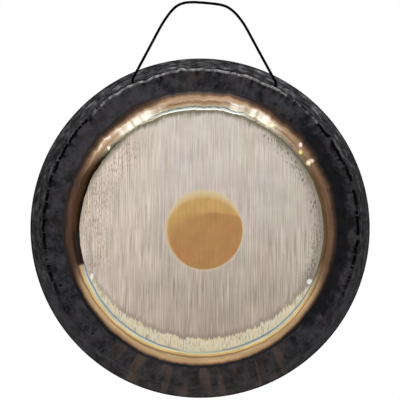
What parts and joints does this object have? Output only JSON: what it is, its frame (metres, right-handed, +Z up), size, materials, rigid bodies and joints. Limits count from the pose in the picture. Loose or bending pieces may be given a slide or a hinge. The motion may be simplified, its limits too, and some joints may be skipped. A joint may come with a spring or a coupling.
{
  "type": "symphonic gong",
  "caption": "Large hammered symphonic gong with a deep rim, brushed face and heat-tinted band, hung from its rim on a braided cord with stopper knots.",
  "frame": {"origin": "underside of the cord at its top, in the plane of the two holes and straight above the gong's centre, where a hook or bar holds it", "axes": "+Z up, +Y from the face to the open back, +X to the right as seen from the front"},
  "size_m": [0.8128, 0.0836, 0.9416],
  "materials": {
    "gong_bronze": "brushed face in vertical strokes, heat-tinted band, hammered black oxide flange and rim",
    "cord_braid": "matte black braid"
  },
  "bodies": {
    "bight": {"cord_bight": "cord_braid"},
    "cord_legs": {"cord_left_leg": "cord_braid", "cord_right_leg": "cord_braid"},
    "gong": {"gong_plate": "gong_bronze", "left_knot": "cord_braid", "right_knot": "cord_braid"}
  },
  "joints": [
    {"name": "cord_swing", "type": "hinge", "parent": "bight", "child": "cord_legs", "pos_m": [0, 0, -0.0192], "axis": [1, 0, 0], "range_deg": [-30, 30]},
    {"name": "gong_tilt", "type": "hinge", "parent": "cord_legs", "child": "gong", "pos_m": [-0.16046, 0, -0.189], "axis": [0.9997, 0, -0.0227], "range_deg": [-30, 30]}
  ]
}
